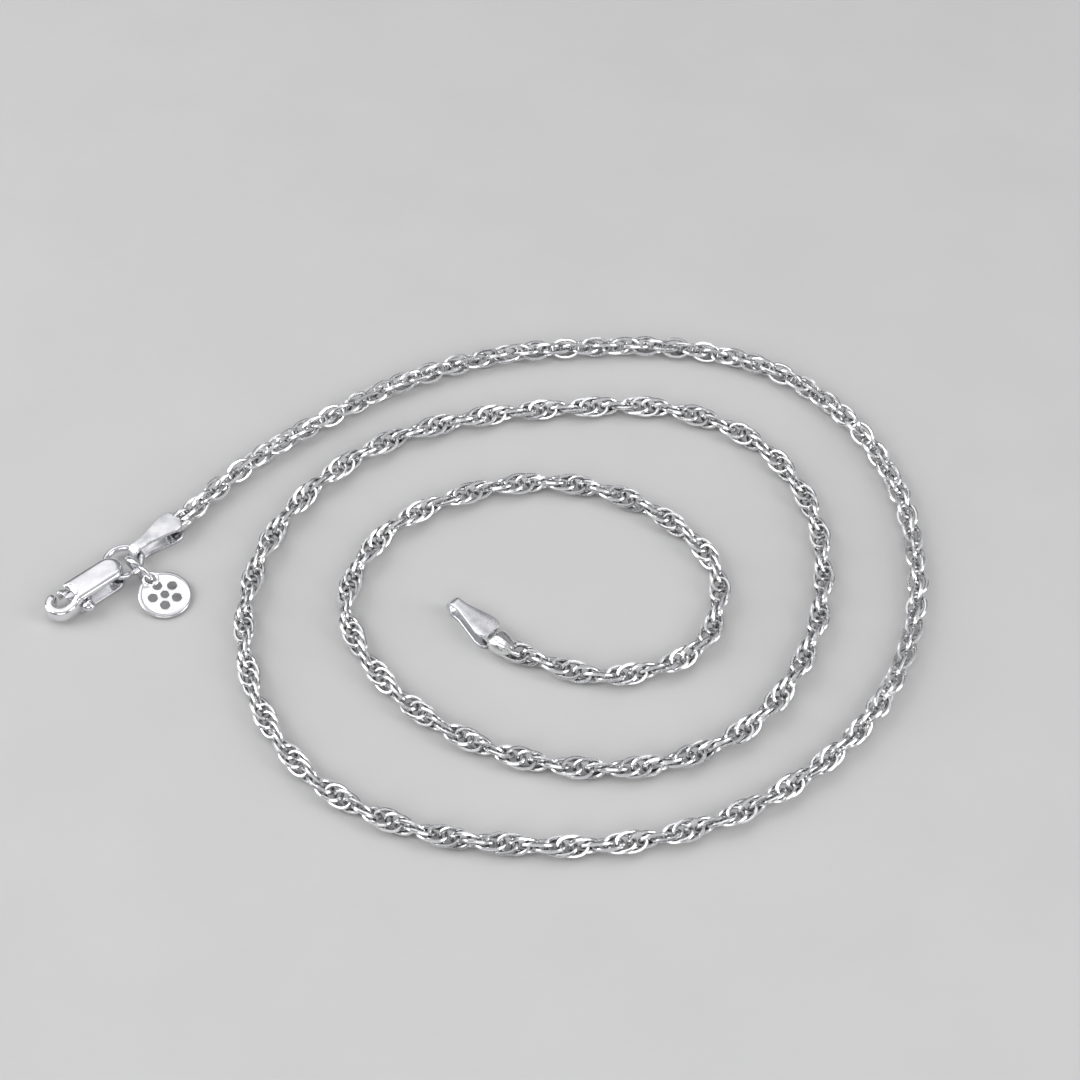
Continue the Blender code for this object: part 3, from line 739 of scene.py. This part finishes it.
def add_clasp(polished, steel):
    seat = joint_at("clasp_swing")
    tail = Vector((seat.x, seat.y, 0)) - heading(CLASP_ANGLE) * CLASP_SEAT
    place = placed(tail, heading(CLASP_ANGLE), UP)
    for name, mesh, material, slot, body, node in (
        ("clasp_casting", clasp_body_mesh(), polished, "silver_polished", "clasp", "clasp_body"),
        ("clasp_gate", lever_mesh(), polished, "silver_polished", "clasp_lever", "clasp_lever"),
        ("clasp_pin", pin_mesh(), steel, "spring_steel", "clasp", "lever_pin"),
        ("clasp_spring", spring_mesh(), steel, "spring_steel", "clasp", "lever_spring"),
    ):
        piece = add_piece(name, mesh, material, place)
        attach(piece, body)
        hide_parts(node)


# Floor, light and camera.


def add_floor():
    mesh = bpy.data.meshes.new("floor")
    reach = 1.5
    corners = [(-reach, -reach, 0), (reach, -reach, 0), (reach, reach, 0), (-reach, reach, 0)]
    mesh.from_pydata(corners, [], [(0, 1, 2, 3)])
    mesh.materials.append(floor_material())
    floor = bpy.data.objects.new("floor", mesh)
    bpy.context.scene.collection.objects.link(floor)


def add_softbox(name, place, width, height, power):
    """An area light that faces the middle of the necklace. Its place is in metres, and its power in watts."""
    light = bpy.data.lights.new(name, "AREA")
    light.shape = "RECTANGLE"
    light.size = width
    light.size_y = height
    light.energy = power
    box = bpy.data.objects.new(name, light)
    box.location = place
    inward = Vector((0, 0, 0)) - Vector(place)
    box.rotation_euler = inward.to_track_quat("-Z", "Y").to_euler()
    bpy.context.scene.collection.objects.link(box)


def add_studio():
    """A dim room with a few softboxes, so that the silver has both bright and dark to mirror."""
    world = bpy.data.worlds.new("studio")
    world.use_nodes = True
    tree = world.node_tree
    place = add_node(tree, "ShaderNodeTexCoord")
    split = add_node(tree, "ShaderNodeSeparateXYZ")
    tree.links.new(place.outputs["Generated"], split.inputs["Vector"])
    stops = [(0.0, (0.06, 0.06, 0.07)), (0.35, (0.2, 0.2, 0.21)), (1.0, (0.5, 0.5, 0.52))]
    tone = ramp_of(tree, split.outputs["Z"], stops)
    tree.links.new(tone, tree.nodes["Background"].inputs["Color"])
    bpy.context.scene.world = world
    add_softbox("back_card", (-0.19, 0.3, 0.35), 0.32, 0.26, 0.16)
    add_softbox("top_strip", (0.0, 0.22, 0.5), 0.4, 0.14, 0.15)
    add_softbox("left_softbox", (-0.4, 0.02, 0.25), 0.3, 0.5, 1.4)
    add_softbox("right_softbox", (0.42, -0.1, 0.2), 0.25, 0.5, 1.2)
    add_softbox("front_softbox", (0.0, -0.42, 0.3), 0.4, 0.2, 0.65)


def add_camera():
    elevation = math.radians(VIEW_ELEVATION)
    camera = bpy.data.cameras.new("camera")
    camera.angle = math.radians(VIEW_ANGLE)
    camera.clip_start = 0.01
    camera.clip_end = 10
    viewer = bpy.data.objects.new("camera", camera)
    back = Vector((0, -math.cos(elevation), math.sin(elevation)))
    viewer.location = (VIEW_TARGET + back * VIEW_DISTANCE) * MM
    viewer.rotation_euler = (math.radians(90 - VIEW_ELEVATION), 0, 0)
    bpy.context.scene.collection.objects.link(viewer)
    bpy.context.scene.camera = viewer


def main():
    bpy.context.scene.view_settings.view_transform = "Standard"
    add_camera()
    add_studio()
    add_floor()
    # The chain gets the darkest painted shade in its crevices, so the gaps between links read dark.
    chain = silver("chain_silver", (0.97, 0.97, 0.975), (0.9, 0.905, 0.915), (0.16, 0.3), 6, 0.0015,
                   crevice_shade=0.08)
    polished = silver("polished_silver", (0.96, 0.96, 0.97), (0.8, 0.8, 0.83), (0.08, 0.24), 9, 0.0015,
                      (1, 9, 1), 42)
    sheet = silver("sheet_silver", (0.94, 0.94, 0.955), (0.62, 0.625, 0.66), (0.14, 0.36), 8, 0.003,
                   (1, 5, 1), 30)
    solder = silver("solder_silver", (0.9, 0.9, 0.9), (0.78, 0.78, 0.78), (0.16, 0.38), 5, 0.005)
    steel = silver("spring_steel", (0.62, 0.62, 0.64), (0.45, 0.45, 0.47), (0.2, 0.4), 10, 0.002)
    strand = Strand()
    add_chain(strand, chain)
    add_tabs(strand, sheet, solder)
    add_jump_ring(polished)
    add_charm(polished)
    add_clasp(polished, steel)


main()
